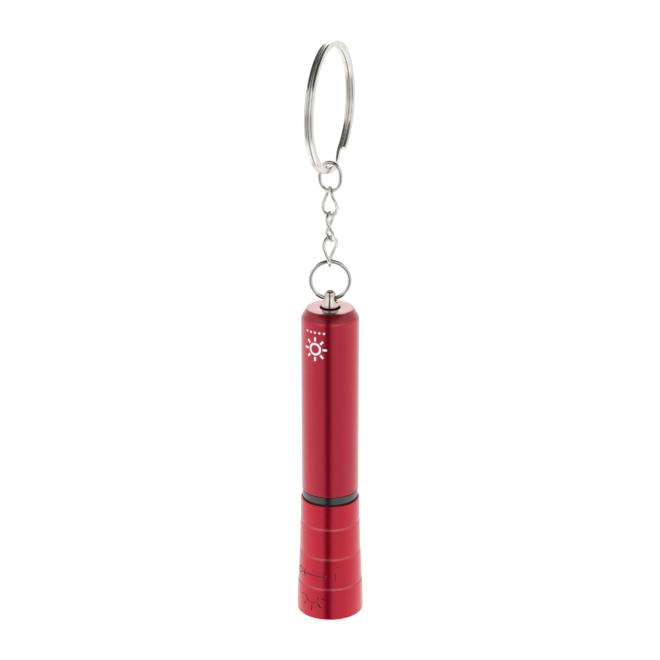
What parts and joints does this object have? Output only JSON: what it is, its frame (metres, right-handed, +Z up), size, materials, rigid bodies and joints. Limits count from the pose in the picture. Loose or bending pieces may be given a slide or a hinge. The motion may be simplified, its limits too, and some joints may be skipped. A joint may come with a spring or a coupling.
{
  "type": "keychain flashlight",
  "caption": "Slim twist-head keychain flashlight hanging by a swivel stud, jump ring and short twisted chain from a split ring.",
  "frame": {"origin": "point on the inside top of the split ring where it rests on a hook", "axes": "+Z up along the hanging body from lens to ring; +X across the jump ring; the split ring's plane is turned 71 degrees about +Z from the XZ plane"},
  "size_m": [0.015, 0.027, 0.1296],
  "materials": {
    "red_shell": "ABS with a glossy metallic red lacquer",
    "black_plastic": "smooth black ABS",
    "bright_nickel": "bright nickel plate on steel wire",
    "warm_nickel": "satin warm nickel plate",
    "spring_steel": "bare spring wire",
    "brass": "bare stamped brass",
    "cell_steel": "nickelled can",
    "chromed_plastic": "vacuum-metallised plastic",
    "clear_plastic": "clear moulded plastic",
    "white_plastic": "plain white moulding",
    "board_green": "solder mask",
    "black_rubber": "matt moulded rubber"
  },
  "bodies": {
    "ring": {"split_ring": "bright_nickel"},
    "oval": {"oval_link": "bright_nickel"},
    "link_1": {"chain_link_1": "bright_nickel"},
    "link_2": {"chain_link_2": "bright_nickel"},
    "link_3": {"chain_link_3": "bright_nickel"},
    "jump": {"jump_ring": "bright_nickel"},
    "stud": {"swivel_stud": "warm_nickel", "stud_washer": "white_plastic"},
    "barrel": {"barrel": "red_shell", "stud_retainer": "black_plastic"},
    "power_module": {"battery_carrier": "black_plastic", "carrier_cap": "black_plastic", "button_cell_1": "cell_steel", "button_cell_2": "cell_steel", "button_cell_3": "cell_steel", "button_cell_4": "cell_steel", "battery_spring": "spring_steel", "positive_contact": "brass", "contact_pin": "brass", "cap_contact": "brass", "switch_board": "board_green", "return_strip": "brass", "head_o_ring": "black_rubber", "head_clip": "spring_steel"},
    "head": {"head_shell": "red_shell", "lens_gasket": "black_rubber", "lens": "clear_plastic", "lens_ring": "black_plastic", "reflector": "chromed_plastic", "led": "clear_plastic", "led_lead_anode": "cell_steel", "led_lead_cathode": "cell_steel", "led_holder": "white_plastic", "led_board": "board_green", "resistor": "black_plastic", "wiper_contact": "brass", "wiper_leaf_a": "brass", "wiper_leaf_b": "brass"}
  },
  "joints": [
    {"name": "oval_swing", "type": "hinge", "parent": "ring", "child": "oval", "pos_m": [0, 0, -0.02675], "axis": [0.3256, 0.9455, 0], "range_deg": [-55, 55]},
    {"name": "link_1_swing", "type": "hinge", "parent": "oval", "child": "link_1", "pos_m": [0, 0, -0.03068], "axis": [0.9455, -0.3256, 0], "range_deg": [-55, 55]},
    {"name": "link_2_swing", "type": "hinge", "parent": "link_1", "child": "link_2", "pos_m": [0, 0, -0.03615], "axis": [-0.9063, 0.4226, 0], "range_deg": [-55, 55]},
    {"name": "link_3_swing", "type": "hinge", "parent": "link_2", "child": "link_3", "pos_m": [0, 0, -0.04165], "axis": [0.4384, -0.8988, 0], "range_deg": [-55, 55]},
    {"name": "jump_ring_swing", "type": "hinge", "parent": "link_3", "child": "jump", "pos_m": [0, 0, -0.04715], "axis": [0.0872, 0.9962, 0], "range_deg": [-55, 55]},
    {"name": "stud_swing", "type": "hinge", "parent": "jump", "child": "stud", "pos_m": [0, 0, -0.05464], "axis": [-1, 0, 0], "range_deg": [-75, 75]},
    {"name": "body_swivel", "type": "hinge", "parent": "stud", "child": "barrel", "pos_m": [0, 0, -0.05664], "axis": [0, 0, 1], "continuous": true},
    {"name": "module_slide", "type": "slide", "parent": "barrel", "child": "power_module", "axis": [0, 0, -1], "range_m": [0, 0.03]},
    {"name": "head_twist", "type": "hinge", "parent": "power_module", "child": "head", "pos_m": [0, 0, -0.10084], "axis": [0, 0, 1], "range_deg": [0, 90]}
  ]
}
